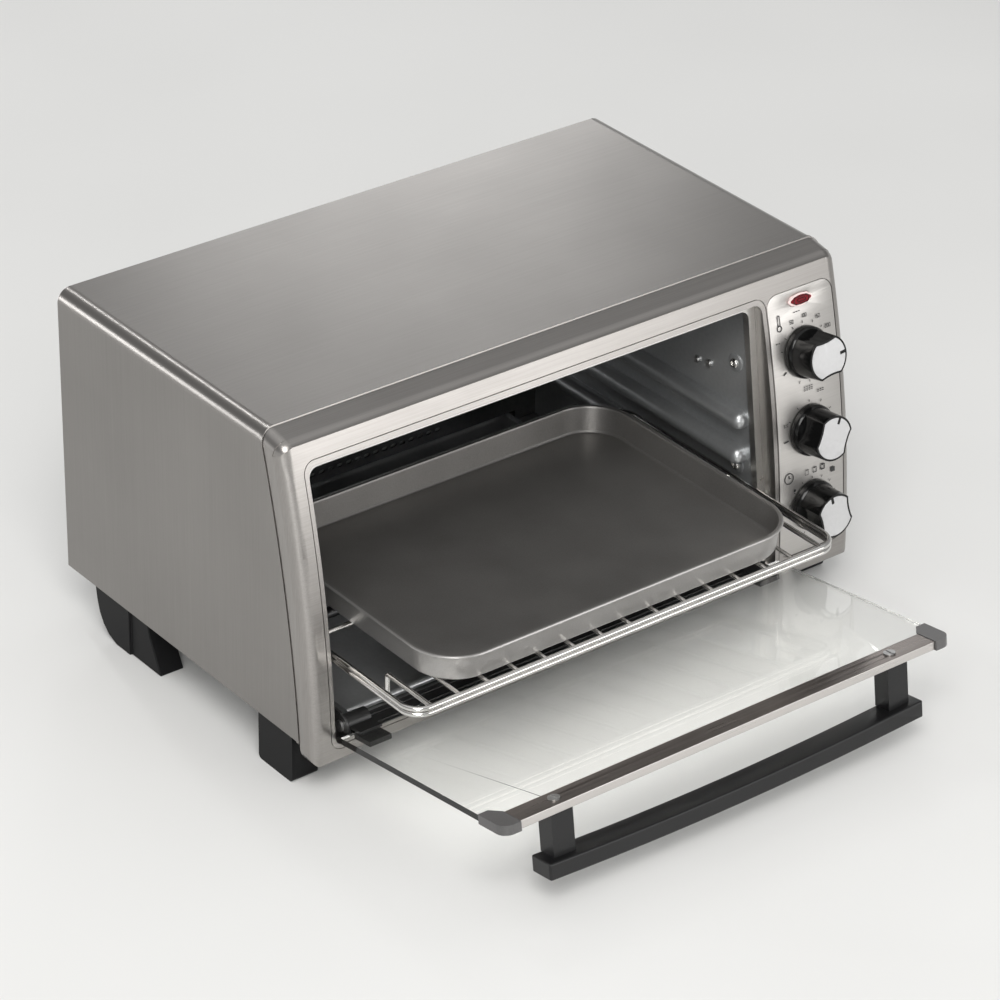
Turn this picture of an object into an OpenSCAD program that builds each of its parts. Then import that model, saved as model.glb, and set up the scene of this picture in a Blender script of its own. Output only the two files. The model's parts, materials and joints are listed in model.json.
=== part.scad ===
// Countertop toaster oven with a drop-down glass door, sliding rack and bake pan.
// Units are millimetres, Z is up, the front faces -Y and the oven stands on Z = 0.

/* [Body] */
// Overall width of the body
body_w = 410; // [340:1:480]
// Height of the cover above its lower edge
cover_h = 188.3; // [150:0.1:240]
// Height of the feet below the cover
foot_h = 33; // [15:1:45]
// Corner radius of the cover
cover_r = 9; // [3:0.5:20]
// Thickness of the cover sheet
sheet = 1; // [0.6:0.1:2]
// Radius of the bowed front face, seen from the side
face_r = 755; // [600:5:1200]
// Wall thickness of the front frame
frame_t = 2.6; // [2:0.1:4]

// Edge rounding of the front frame
frame_e = 8; // [4:0.5:10]

/* [Opening] */
// Distance of the opening's centre from the body's centre
cav_x = -23; // [-40:0.5:0]
// Half width of the recess the door closes into
recess_hw = 165.5; // [140:0.5:190]
// Height of the recess above the ground, lower edge
recess_z0 = 31.2; // [28:0.1:36]
// Height of the recess above the ground, upper edge
recess_z1 = 202; // [180:0.5:215]
// Half width of the cavity, inside
cav_hw = 163; // [140:0.5:190]
// Distance of the cavity's back wall from the rear edge of the cover
cav_back = 20; // [12:0.5:50]
// Height of the cavity's ceiling above the ground
cav_top = 200; // [180:0.5:212]

/* [Door] */
// Hinge axis, distance in front of the cover's rear edge
hinge_d = 246.4; // [220:0.1:270]
// Hinge axis, height above the ground
hinge_z = 37.7; // [34:0.1:44]
// Lean of the closed door, and rise of the open one
door_tilt = 8.3; // [0:0.1:15]
// Length of the door beyond the hinge axis
door_len = 162.8; // [140:0.1:180]
// Glass thickness
glass_t = 4; // [3:0.1:6]
// Half length of the handle bar
bar_hl = 138.5; // [90:0.5:160]
// Distance between the handle posts
post_gap = 248; // [150:1:300]

/* [Controls] */
// Distance of the knobs from the body's centre
knob_x = 172; // [160:0.5:180]
// Height of the thermostat knob
knob_z1 = 164.5; // [150:0.5:180]
// Height of the function knob
knob_z2 = 115; // [100:0.5:130]
// Height of the timer knob
knob_z3 = 65; // [55:0.5:80]
// Skirt radius of a knob
knob_r = 16.3; // [12:0.1:20]
// Height of a knob
knob_h = 21.5; // [14:0.5:28]

/* [Rack and pan] */
// Half width of the rack, between wire centres
rack_hw = 157; // [130:0.5:170]
// Front wire of the pulled-out rack, in front of the cover's rear edge
rack_front = 316.5; // [300:0.5:340]
// Rear wire of the pulled-out rack, in front of the cover's rear edge
rack_rear = 115.5; // [100:0.5:140]
// Height of the upper rack wire
rack_z = 83; // [70:0.5:110]
// Pan width over the rim
pan_w = 268; // [200:1:300]
// Pan depth over the rim
pan_d = 193.6; // [150:0.5:220]
// Pan height
pan_h = 18; // [12:0.5:30]

/* [Hidden] */
$fn = 64;
body_z0 = foot_h;
body_z1 = foot_h + cover_h;
half_w = body_w / 2;
face_cy = 500.1;
face_cz = 5.3;
seam_cy = 675.1;
seam_cz = -40.6;
seam_r = 920.2;
frame_z0 = 19.5;
top_cy = -218.4;
top_cz = 210.3;
hinge_y = -hinge_d;
bar_bow = 4;
bar_n0 = 32;
bar_n1 = 42.5;
bar_s0 = 150.2;
bar_s1 = 167.2;
bar_arc = (bar_hl * bar_hl + bar_bow * bar_bow) / (2 * bar_bow);
rear_reach = 6;
front_reach = hinge_d + bar_s1 * cos(door_tilt) + (bar_n1 + bar_bow) * sin(door_tilt);
y_shift = (front_reach - rear_reach) / 2;
wire_r = 1.6;
rib_z = [72, 96.5, 121];
rib_r = 5.75;
el_y = [-75, -165];
el_hi = 186;
el_lo = 54;
el_r = 3.5;
pan_y0 = -312.5;
pan_z0 = rack_z + 0.5;

// ---- helpers ----

// Moves every piece so that the origin is under the middle of the whole object.
module place() {
    translate([0, y_shift, 0]) children();
}

// Rectangle from (x0, z0) to (x1, z1) with one corner radius.
module rbox(x0, x1, z0, z1, r) {
    translate([x0 + r, z0]) square([x1 - x0 - 2 * r, z1 - z0]);
    translate([x0, z0 + r]) square([x1 - x0, z1 - z0 - 2 * r]);
    for (x = [x0 + r, x1 - r])
        for (z = [z0 + r, z1 - r])
            translate([x, z]) circle(r);
}

// Body outline seen from the front, inset by t, with its own top and bottom radius.
module outline(t, z0, z1, rt, rb) {
    w = half_w - t;
    translate([-w, z0 + rb]) square([2 * w, z1 - z0 - rt - rb]);
    translate([-w + rt, z1 - rt - 0.01]) square([2 * (w - rt), rt + 0.01]);
    translate([-w + rb, z0]) square([2 * (w - rb), rb + 0.01]);
    for (s = [-1, 1]) {
        translate([s * (w - rt), z1 - rt]) circle(rt);
        translate([s * (w - rb), z0 + rb]) circle(rb);
    }
}

// Extrudes a front-view shape from y0 back to y1.
module along_y(y0, y1) {
    translate([0, y1, 0]) rotate([90, 0, 0]) linear_extrude(y1 - y0) children();
}

// Extrudes a side-view shape (Y, Z) from x0 to x1.
module along_x(x0, x1) {
    translate([x0, 0, 0]) rotate([90, 0, 90]) linear_extrude(x1 - x0) children();
}

// Solid behind the bowed front face, with rounded left and right edges.
module face_solid(r, w, e) {
    translate([0, face_cy, face_cz]) rotate([0, 90, 0]) rotate([0, 0, -112])
        rotate_extrude(angle = 26, $fn = 720) {
            translate([r - 70, -w / 2]) square([70 - e, w]);
            translate([r - 70, -w / 2 + e]) square([70, w - 2 * e]);
            translate([r - e, w / 2 - e]) circle(e);
            translate([r - e, e - w / 2]) circle(e);
        }
}

// Everything behind the seam between cover and frame.
module behind_seam(r) {
    translate([-250, seam_cy, seam_cz]) rotate([0, 90, 0]) cylinder(r = r, h = 500, $fn = 720);
}

// Everything under the frame's sloping top, with ball corners where it meets face and sides.
module frame_top() {
    a = 10.9;
    r = 8.5;
    x = half_w - r - 0.2;
    along_x(-250, 250) {
        polygon([[-190, top_cz + (-190 - top_cy) * tan(a)], [top_cy, top_cz],
            [top_cy - 77, top_cz + 22], [-310, top_cz + 22], [-310, 24.3], [-249.96, 24.3],
            [-249.96, 0], [-190, 0]]);
        translate([-249.96, 24.3]) circle(5);
    }
    translate([0, top_cy, top_cz]) rotate([a, 0, 0]) {
        along_y(-0.01, 32) {
            translate([-x - 0.22, -3]) square([2 * x + 0.44, 3 + r]);
            for (s = [-1, 1]) translate([s * (x + 0.22), 0]) circle(r);
        }
        rod_x(-x, x, r);
        for (s = [-1, 1]) translate([s * x, 0, 0]) sphere(r - 0.1);
    }
}

// Plane of the closed door through the hinge axis: X across, Z along, Y into the oven.
module seat() {
    translate([0, hinge_y, hinge_z]) rotate([-door_tilt, 0, 0]) children();
}

// The same plane swung down to the open position.
module door() {
    translate([0, hinge_y, hinge_z]) rotate([90 - door_tilt, 0, 0]) children();
}

// Origin on the bowed face at height z, local Z pointing out of the panel.
module on_panel(z) {
    t = asin((z - face_cz) / face_r);
    translate([knob_x, face_cy - face_r * cos(t), z]) rotate([90 - t, 0, 0]) children();
}

module at_ends(d) {
    for (s = [-1, 1]) translate([cav_x + s * d, 0, 0]) children();
}

// Cylinder along X from x0 to x1.
module rod_x(x0, x1, r) {
    translate([x0, 0, 0]) rotate([0, 90, 0]) cylinder(r = r, h = x1 - x0);
}

// Cylinder along Y from y0 to y1.
module rod_y(y0, y1, r) {
    translate([0, y0, 0]) rotate([-90, 0, 0]) cylinder(r = r, h = y1 - y0);
}

// Slot seen from the front, w wide and h high.
module slot(w, h) {
    square([w - h, h], center = true);
    for (s = [-1, 1]) translate([s * (w - h) / 2, 0]) circle(h / 2);
}

// ---- case ----

// Raised edge of the cover where it meets the front frame.
module wrap_bead() {
    difference() {
        intersection() {
            along_y(-250, -150) difference() {
                outline(-0.6, body_z0 - 1, body_z1 + 0.6, cover_r + 0.6, 0.5);
                outline(0.9, body_z0 - 5, body_z1 - 0.9, cover_r - 0.9, 0.5);
            }
            behind_seam(seam_r);
            translate([-250, -250, body_z0]) cube([500, 200, 200]);
        }
        behind_seam(seam_r - 2.3);
    }
}

module outer_wrap() {
    color("silver") place() wrap_bead();
    color("silver") place() intersection() {
        along_y(-250, 0) difference() {
            union() {
                translate([-half_w, body_z0]) square([body_w, cover_h - cover_r]);
                translate([cover_r - half_w, body_z1 - cover_r - 0.01])
                    square([body_w - 2 * cover_r, cover_r + 0.01]);
                for (s = [-1, 1])
                    translate([s * (half_w - cover_r), body_z1 - cover_r]) circle(cover_r);
            }
            translate([sheet - half_w, body_z0 + sheet])
                square([body_w - 2 * sheet, cover_h - cover_r - sheet]);
            translate([cover_r - half_w, body_z1 - cover_r - 0.01])
                square([body_w - 2 * cover_r, cover_r - sheet + 0.01]);
            for (s = [-1, 1])
                translate([s * (half_w - cover_r), body_z1 - cover_r]) circle(cover_r - sheet);
            translate([8 - half_w, body_z0 - 1]) square([body_w - 16, 3]);
        }
        behind_seam(seam_r);
    }
}

module frame_shell() {
    difference() {
        intersection() {
            face_solid(face_r, body_w + 0.02, frame_e);
            along_y(-300, -195) outline(0, frame_z0, body_z1 + 4, 2, 11);
            frame_top();
        }
        intersection() {
            face_solid(face_r - frame_t, body_w - 2 * frame_t, frame_e - 2);
            along_y(-300, -190) outline(frame_t, frame_z0 + 2.2, 214.2, 7, 8.5);
        }
        behind_seam(seam_r + 0.3);
    }
}

// Collar that slips inside the cover.
module frame_collar() {
    intersection() {
        along_y(-240, -200) difference() {
            outline(1.2, 34.4, 218.6, 8, 1);
            outline(2.7, 36, 217, 6.5, 1);
            translate([-195, 30]) square([390, 10]);
        }
        behind_seam(seam_r + 9);
        face_solid(face_r - 1.5, body_w - 4, 2);
    }
}

// Side walls of the door recess.
module recess_walls() {
    intersection() {
        along_y(-300, -200) difference() {
            rbox(cav_x - recess_hw - 1.6, cav_x + recess_hw + 1.6, recess_z0 - 1.6,
                recess_z1 + 1.6, 7);
            rbox(cav_x - recess_hw, cav_x + recess_hw, recess_z0, recess_z1, 5.5);
        }
        face_solid(face_r - 1.2, body_w, 2);
        seat() translate([-250, -80, -60]) cube([500, 80.1, 300]);
    }
}

module front_frame() {
    color("gainsboro") place() difference() {
        union() {
            frame_shell();
            frame_collar();
            recess_walls();
        }
        // door window
        along_y(-300, -195)
            rbox(cav_x - recess_hw, cav_x + recess_hw, recess_z0, recess_z1, 5.5);
        // fine groove round the window
        difference() {
            along_y(-300, -200) difference() {
                rbox(cav_x - recess_hw - 3.1, cav_x + recess_hw + 3.3, recess_z0 - 3, recess_z1 + 3.7, 8);
                rbox(cav_x - recess_hw - 2.6, cav_x + recess_hw + 2.8, recess_z0 - 2.5, recess_z1 + 3.2, 7.5);
            }
            face_solid(face_r - 1, body_w + 20, 1);
        }
        // pocket for the control panel
        difference() {
            along_y(-300, -200) rbox(146, 198, 34.5, 204.5, 8.5);
            face_solid(face_r - 1.4, body_w + 20, 1);
        }
        for (z = [knob_z1, knob_z2, knob_z3])
            on_panel(z) translate([0, 0, -6]) cylinder(r = 4.6, h = 12);
        on_panel(197) translate([0, 0, -6]) linear_extrude(12) slot(17.2, 7);
    }
}

module lens_shape(w, h) {
    r = (w * w + h * h) / (4 * h) + 2;
    intersection() {
        slot(w, h);
        translate([0, r - h / 2]) circle(r, $fn = 128);
        translate([0, h / 2 - r]) circle(r, $fn = 128);
    }
}

module control_panel() {
    color("whitesmoke") place() difference() {
        intersection() {
            along_y(-300, -200) rbox(146.5, 197.5, 35, 204, 8);
            difference() {
                face_solid(face_r - 0.2, body_w, 1);
                face_solid(face_r - 1.35, body_w + 20, 1);
            }
        }
        for (z = [knob_z1, knob_z2, knob_z3])
            on_panel(z) translate([0, 0, -6]) cylinder(r = 4.6, h = 12);
        on_panel(197) translate([0, 0, -6]) linear_extrude(12) slot(17.2, 7);
    }
}

module back_cover() {
    color("silver") place() difference() {
        along_y(-2.4, -1.4) difference() {
            outline(1.2, 34.4, body_z1 - 1.2, 7.8, 1);
            for (i = [0:10]) for (j = [0:3])
                translate([cav_x - 110 + 22 * i, 150 + 12 * j]) slot(16, 4);
            for (j = [0:7]) translate([172, 96 + 12 * j]) slot(34, 4);
            translate([cav_x - 147, 34]) square([294, 7.4]);
            translate([150, 62]) circle(8);
        }
        for (p = [[-165, 70], [119, 70], [-165, 205], [119, 205], [-196, 60], [196, 60],
            [-196, 196], [196, 196]])
            translate([p[0], 1, p[1]]) rotate([90, 0, 0]) cylinder(r = 1.6, h = 6);
    }
}

module base_pan() {
    color("darkgray") place() difference() {
        union() {
            translate([-196.4, -240, body_z0]) cube([392.8, 237, 1.2]);
            translate([-196.4, -241.2, 22]) cube([392.8, 1.2, 12.2]);
            translate([-196.4, -241.2, 22]) cube([392.8, 3, 1.2]);
        }
        for (i = [0:8]) for (j = [0:2])
            translate([cav_x - 120 + 30 * i, -190 + 60 * j, 30])
                linear_extrude(8) slot(20, 4);
        for (i = [0:4]) translate([172, -190 + 28 * i, 30]) linear_extrude(8) slot(34, 4);
        for (x = [-190, 190]) for (y = [-216, -58])
            translate([x, y, 30]) cylinder(r = 1.7, h = 8);
    }
}

// ---- cavity ----

// Pressed runner for the rack, standing r + 2.75 proud of the wall at X = 0.
module runner(r, lift) {
    translate([lift, 0, 0]) {
        rod_y(-226 + rib_r, -40 - rib_r, r);
        translate([0, -226 + rib_r, 0]) sphere(r);
        translate([0, -40 - rib_r, 0]) sphere(r);
    }
    translate([-1, -226 + rib_r, -r]) cube([lift + 1, 186 - 2 * rib_r, 2 * r]);
    for (y = [-226 + rib_r, -40 - rib_r])
        translate([-1, y, 0]) rotate([0, 90, 0]) cylinder(r = r, h = lift + 1);
}

// Side wall with its inner face at X = 0, cavity on the +X side.
module side_wall() {
    difference() {
        union() {
            intersection() {
                translate([-1, -246, 34.4]) cube([1, 246 - cav_back, cav_top - 34.4]);
                seat() translate([-250, 1.5, -60]) cube([500, 300, 300]);
            }
            for (z = rib_z) translate([0, 0, z]) runner(rib_r, 2.75);
        }
        for (z = rib_z) translate([-0.01, 0, z]) runner(rib_r - 1, 2.75);
        for (y = el_y) for (z = [el_lo, el_hi])
            translate([-3, y, z]) rotate([0, 90, 0]) cylinder(r = 6.6, h = 6);
        translate([-4, -300, 0]) cube([3, 400, 300]);
    }
}

module cavity_left() {
    color("gray") place() translate([cav_x - cav_hw, 0, 0]) side_wall();
}

module cavity_right() {
    color("gray") place() translate([cav_x + cav_hw, 0, 0]) mirror([1, 0, 0]) side_wall();
}

module cavity_top() {
    color("gray") place() difference() {
        intersection() {
            translate([cav_x - cav_hw - 1, -240, cav_top + 0.05])
                cube([2 * cav_hw + 2, 240 - cav_back + 1, 1]);
            seat() translate([-250, 1.5, -60]) cube([500, 300, 300]);
        }
        for (i = [-3:3]) translate([cav_x + 36 * i, -120, cav_top - 1])
            linear_extrude(4) slot(22, 5);
    }
}

module cavity_back() {
    color("gray") place() along_y(-cav_back + 0.05, 1.05 - cav_back) difference() {
        translate([cav_x - cav_hw - 1, 34.4]) square([2 * cav_hw + 2, cav_top - 34.4]);
        translate([cav_x - 147, 34]) square([294, 7.4]);
        for (i = [-12:12]) translate([cav_x + 7 * i, 48]) slot(4.6, 2.6);
    }
}

module cavity_mouth() {
    color("silver") place() seat() {
        along_y(0.15, 1.35) difference() {
            rbox(cav_x - recess_hw - 3.4, cav_x + recess_hw + 3.4, -4.6, 169.4, 4);
            rbox(cav_x - 160.7, cav_x + 160.7, -30, 161, 6);
        }
        along_y(1.3, 5.2) difference() {
            rbox(cav_x - 161.8, cav_x + 161.8, -4.6, 162.1, 7);
            rbox(cav_x - 160.7, cav_x + 160.7, -30, 161, 6);
        }
    }
}

module heat_shield() {
    color("silver") place() difference() {
        union() {
            translate([147, -212, 36]) cube([0.8, 200, 178]);
            translate([147, -20, 36]) cube([10, 0.8, 178]);
        }
        for (y = el_y) for (z = [el_lo, el_hi])
            translate([140, y, z]) rotate([0, 90, 0]) cylinder(r = 5, h = 12);
    }
}

module element(z) {
    for (y = el_y) translate([0, y, z]) {
        rod_x(cav_x - 170, cav_x + 168, el_r);
        rod_x(cav_x - 176, cav_x - 170, 1.5);
        rod_x(cav_x + 168, cav_x + 180, 1.5);
    }
}

module upper_elements() {
    color("dimgray") place() element(el_hi);
}

module lower_elements() {
    color("dimgray") place() element(el_lo);
}

module element_bushings() {
    color("ivory") place()
        for (y = el_y) for (z = [el_lo, el_hi]) for (s = [-1, 1])
            translate([cav_x + s * cav_hw, y, z]) rotate([0, s * 90, 0]) difference() {
                union() {
                    translate([0, 0, -3]) cylinder(r = 6.5, h = 6);
                    translate([0, 0, -4]) cylinder(r = 8.4, h = 3.9);
                }
                translate([0, 0, -5]) cylinder(r = el_r + 0.1, h = 12);
            }
}

module rivet(h) {
    cylinder(r = 2.6, h = h);
    cylinder(r = 1.9, h = h + 0.7);
}

module cavity_rivets() {
    color("silver") place() {
        for (s = [-1, 1]) translate([cav_x + s * (cav_hw - 0.05), 0, 0]) {
            for (p = [[-177, 143], [-188, 145], [-60, 143], [-212, 156], [-218, 88]])
                translate([0, p[0], p[1]]) rotate([0, -s * 90, 0]) rivet(0.9);
        }
    }
}

module crumb_tray() {
    color("silver") place() {
        translate([cav_x - 145, -236, 34.4]) cube([290, 232, 0.8]);
        for (s = [-1, 1]) translate([cav_x + s * 144.6 - 0.4, -236, 34.4]) cube([0.8, 232, 4.2]);
        translate([0, -236, 36.65]) rod_x(cav_x - 145, cav_x + 145, 2.25);
        translate([cav_x - 144.6, -5, 34.4]) cube([289.2, 1, 5]);
        translate([cav_x - 30, -4.2, 34.4]) cube([60, 9, 0.8]);
        translate([cav_x - 30, 3.9, 34.4]) cube([60, 1, 9]);
    }
}

// ---- feet ----

module foot_front(s) {
    intersection() {
        along_x(-210, 210) rbox(-232.5, -199, 0, 45, 3);
        translate([s * 194.5 - 9, -260, 0]) cube([18, 100, body_z0 - 0.05]);
    }
}

module foot_rear(s) {
    difference() {
        translate([s * 194.5 - 9, 0, 0]) along_x(0, 18) polygon([[-27, 32.95], [-28.6, 23],
            [-31, 14.5], [-35, 8], [-41, 2.8], [-49, 0], [-95, 0], [-91, 8], [-84, 22], [-81, 32.95]]);
        translate([s * 203.5 - 1.5, -140, -1]) cube([3, 76, 40]);
    }
}

module foot_front_left() {
    color("dimgray") place() foot_front(-1);
}

module foot_front_right() {
    color("dimgray") place() foot_front(1);
}

module foot_rear_left() {
    color("dimgray") place() foot_rear(-1);
}

module foot_rear_right() {
    color("dimgray") place() foot_rear(1);
}

module foot_screws() {
    color("silver") place() for (x = [-191.2, 191.2]) for (y = [-216, -58])
        translate([x, y, body_z0 + 1.25]) cylinder(r = 2.6, h = 1.6);
}

// ---- door ----

module hinge_bracket() {
    difference() {
        along_x(-0.8, 0.8) difference() {
            union() {
                translate([hinge_y, hinge_z + 0.6]) circle(6.4);
                translate([hinge_y, 34.5]) square([18, 11.5]);
                translate([hinge_y + 14, 34.5]) square([8, 20]);
            }
            translate([hinge_y - 10, 28]) square([34, 6.5]);
        }
        translate([0, hinge_y, hinge_z]) rod_x(-3, 3, 2.05);
    }
    for (p = [[-232, 40], [-232, 48]])
        translate([0, p[0], p[1]]) rod_x(-1.6, 1.6, 1.7);
}

module hinge_bracket_left() {
    color("dimgray") place() translate([cav_x - 155.5, 0, 0]) hinge_bracket();
}

module hinge_bracket_right() {
    color("dimgray") place() translate([cav_x + 155.5, 0, 0]) hinge_bracket();
}

module hinge_pin(s) {
    translate([cav_x + s * 155.5, hinge_y, hinge_z]) rotate([0, s * 90, 0]) {
        translate([0, 0, 0.85]) cylinder(r = 3.4, h = 1.4);
        translate([0, 0, -11]) cylinder(r = 2, h = 12);
    }
}

module hinge_pin_left() {
    color("silver") place() hinge_pin(-1);
}

module hinge_pin_right() {
    color("silver") place() hinge_pin(1);
}

module door_glass() {
    color("lightblue", 0.4) place() door() along_y(-1.2 - glass_t, -1.2) difference() {
        rbox(cav_x - 164.3, cav_x + 164.3, 2.6, door_len - 0.8, 6);
        translate([cav_x - 170, 0]) square([17, 11]);
        translate([cav_x + 153, 0]) square([17, 11]);
        translate([cav_x - 170, 0]) square([340, 5]);
        for (s = [-1, 1]) translate([cav_x + s * post_gap / 2, 155.6]) circle(2.3);
    }
}

module door_strip() {
    color("silver") place() door() difference() {
        translate([cav_x - 153, -5.9, 148.2]) cube([306, 5.4, door_len - 148.2]);
        translate([cav_x - 160, -1.15 - glass_t - 0.1, 140]) cube([320, glass_t + 0.1, door_len - 140.7]);
        for (s = [-1, 1]) translate([cav_x + s * post_gap / 2, -8, 155.6])
            rotate([-90, 0, 0]) cylinder(r = 2.1, h = 10);
    }
}

module door_rail() {
    color("dimgray") place() door() difference() {
        union() {
            translate([cav_x - 138, -5.9, 2.6]) cube([276, 5.4, 7.6]);
            translate([cav_x - 138, -4.6, -3.8]) cube([276, 4.2, 7]);
            translate([0, -0.55, 0.8]) rod_x(cav_x - 138, cav_x + 138, 0.75);
        }
        translate([cav_x - 160, -5.3, 4.8]) cube([320, 4.2, 10]);
    }
}

module door_lug() {
    difference() {
        union() {
            rod_x(0, 15.4, 5.6);
            translate([0, -6.3, 1]) cube([15.4, 6.7, 15]);
            translate([0, -8.4, 9.6]) cube([15.4, 4, 15]);
        }
        rod_x(-1, 12, 2.05);
        translate([-1, -5.3, 4.8]) cube([20, 4.2, 40]);
    }
}

module door_lug_left() {
    color("dimgray") place() door() translate([cav_x - 153.9, 0, 0]) door_lug();
}

module door_lug_right() {
    color("dimgray") place() door() translate([cav_x + 153.9, 0, 0]) mirror([1, 0, 0]) door_lug();
}

module door_cap() {
    difference() {
        along_y(-6.2, -0.2) {
            intersection() {
                rbox(-0.4, 30, 100, door_len + 1.4, 7);
                polygon([[-1, 141], [6.5, 141], [11.7, 148], [11.7, 170], [-1, 170]]);
            }
        }
        along_y(-1.15 - glass_t - 0.1, -1.15) rbox(0.1, 40, 100, door_len - 0.7, 6);
    }
}

module door_cap_left() {
    color("gray") place() door() translate([cav_x - 164.8, 0, 0]) door_cap();
}

module door_cap_right() {
    color("gray") place() door() translate([cav_x + 164.8, 0, 0]) mirror([1, 0, 0]) door_cap();
}

module handle_bar() {
    color("dimgray") place() door() translate([cav_x, 0, bar_s0]) linear_extrude(bar_s1 - bar_s0)
        intersection() {
            difference() {
                translate([0, bar_arc - bar_n1 - bar_bow]) circle(bar_arc, $fn = 720);
                translate([0, bar_arc - bar_n0 - bar_bow]) circle(bar_arc, $fn = 720);
            }
            rbox(-bar_hl, bar_hl, -60, -20, 3);
        }
}

module handle_posts() {
    color("dimgray") place() door() difference() {
        for (s = [-1, 1]) translate([cav_x + s * post_gap / 2 - 7.6, -33.2, bar_s0])
            cube([15.2, 27.25, 12]);
        for (s = [-1, 1]) translate([cav_x + s * post_gap / 2, -20, 155.6])
            rotate([-90, 0, 0]) cylinder(r = 2.1, h = 20);
        translate([cav_x, 0, bar_s0 - 1]) linear_extrude(20) difference() {
            translate([0, bar_arc - bar_n1 - bar_bow]) circle(bar_arc + 5, $fn = 720);
            translate([0, bar_arc - bar_n0 - bar_bow + 0.05]) circle(bar_arc, $fn = 720);
        }
    }
}

module handle_screws() {
    color("silver") place() door() for (s = [-1, 1])
        translate([cav_x + s * post_gap / 2, 0, 155.6]) rotate([90, 0, 0]) difference() {
            union() {
                translate([0, 0, -0.4]) cylinder(r = 3.6, h = 0.85);
                cylinder(r = 2, h = 18);
            }
            translate([-0.5, -4, -0.5]) cube([1, 8, 0.5]);
        }
}

// ---- rack and pan ----

module ring_wire(z) {
    r = 12;
    y0 = -rack_front;
    y1 = -rack_rear;
    translate([cav_x, 0, z]) {
        for (y = [y0, y1]) translate([0, y, 0]) rod_x(r - rack_hw, rack_hw - r, wire_r);
        for (s = [-1, 1]) translate([s * rack_hw, 0, 0]) rod_y(y0 + r, y1 - r, wire_r);
        translate([rack_hw - r, y1 - r, 0]) rotate_extrude(angle = 90) translate([r, 0]) circle(wire_r);
        translate([r - rack_hw, y1 - r, 0]) rotate([0, 0, 90])
            rotate_extrude(angle = 90) translate([r, 0]) circle(wire_r);
        translate([r - rack_hw, y0 + r, 0]) rotate([0, 0, 180])
            rotate_extrude(angle = 90) translate([r, 0]) circle(wire_r);
        translate([rack_hw - r, y0 + r, 0]) rotate([0, 0, 270])
            rotate_extrude(angle = 90) translate([r, 0]) circle(wire_r);
    }
}

module rack_frame() {
    color("white") place() {
        ring_wire(rack_z);
        ring_wire(rack_z - 3.5);
        translate([0, -215, rack_z - 3.4]) rod_x(cav_x - rack_hw, cav_x + rack_hw, wire_r);
    }
}

// Raised rail at the rear of the rack.
module rack_guard() {
    color("white") place() {
        translate([0, -rack_rear, rack_z + 14]) rod_x(cav_x - 118, cav_x + 118, 1.5);
        for (x = [-118, 0, 118]) translate([cav_x + x, -rack_rear, rack_z]) {
            cylinder(r = 1.5, h = 14);
            translate([0, 0, 14]) sphere(1.5);
        }
    }
}

module rack_wires() {
    color("white") place()
        for (i = [-6:6]) translate([cav_x + 20.6 * i, 0, rack_z - 0.8])
            rod_y(-rack_front, -rack_rear, 1.2);
}

module rack_hooks() {
    color("white") place() at_ends(144.5) translate([0, 0, rack_z]) {
        rod_y(-rack_front, -276.5, 1.5);
        translate([0, -276.5, -1.5]) rotate([0, 90, 0]) rotate([0, 0, 90])
            rotate_extrude(angle = 90) translate([1.5, 0]) circle(1.49);
        translate([0, -275, -16]) cylinder(r = 1.5, h = 14.5);
        translate([0, -275, -16]) sphere(1.5);
    }
}

// Wall of the pan, from the middle of a corner outwards.
module pan_wall() {
    polygon([[0, 0], [25.2, 0], [26.6, 0.5], [27.4, 1.6], [29.1, pan_h - 1.7], [30.8, pan_h - 1.5],
        [31, pan_h - 0.8], [30.6, pan_h - 0.1], [29.8, pan_h], [28.2, pan_h], [27.9, pan_h - 1],
        [26.3, 2.4], [25.4, 1.3], [24.6, 1], [0, 1]]);
}

module bake_pan() {
    r = 31;
    w = pan_w / 2 - r;
    color("dimgray") place() translate([cav_x, pan_y0 + pan_d / 2, pan_z0]) {
        d = pan_d / 2 - r;
        for (a = [0, 1]) rotate([0, 0, 180 * a]) {
            translate([w, d, 0]) rotate_extrude(angle = 90) pan_wall();
            translate([-w, d, 0]) rotate([0, 0, 90]) rotate_extrude(angle = 90) pan_wall();
            translate([w, d, 0]) rotate([90, 0, 0]) linear_extrude(2 * d) pan_wall();
            translate([-w, d, 0]) rotate([90, 0, 90]) linear_extrude(2 * w) pan_wall();
        }
        translate([-w - 1, -d - 1, 0]) cube([2 * w + 2, 2 * d + 2, 1]);
    }
}

// ---- controls ----

// Barrel outline of a knob's grip, long way along +Y, 2 * half wide at the waist.
module grip(r, half) {
    difference() {
        circle(r);
        for (s = [-1, 1]) translate([s * (half + 36), 0]) circle(36);
    }
}

module knob(turn) {
    rotate([0, 0, -turn]) difference() {
        union() {
            translate([0, 0, 0.5]) cylinder(r1 = knob_r, r2 = knob_r - 0.2, h = 3);
            translate([0, 0, 3.5]) cylinder(r1 = knob_r - 0.2, r2 = knob_r - 1.3, h = 1.6);
            translate([0, 0, 5]) cylinder(r1 = knob_r - 1.5, r2 = knob_r - 2, h = knob_h - 5);
        }
        for (s = [-1, 1]) translate([s * 47.3, 0, 5.2]) cylinder(r = 36, h = 30, $fn = 128);
        translate([0, 0, -1]) cylinder(r = 3.03, h = 13.5);
        translate([0, 0, knob_h - 0.8]) linear_extrude(2) difference() {
            grip(knob_r - 3.2, 10);
            translate([-1, knob_r - 7.2]) square([2, 8]);
        }
    }
}

module knob_cap(turn) {
    rotate([0, 0, -turn]) translate([0, 0, knob_h - 0.75]) linear_extrude(1) difference() {
        grip(knob_r - 3.25, 9.95);
        translate([-1.05, knob_r - 7.25]) square([2.1, 8]);
    }
}

module shaft() {
    translate([0, 0, -13]) cylinder(r = 3, h = 25);
}

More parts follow.
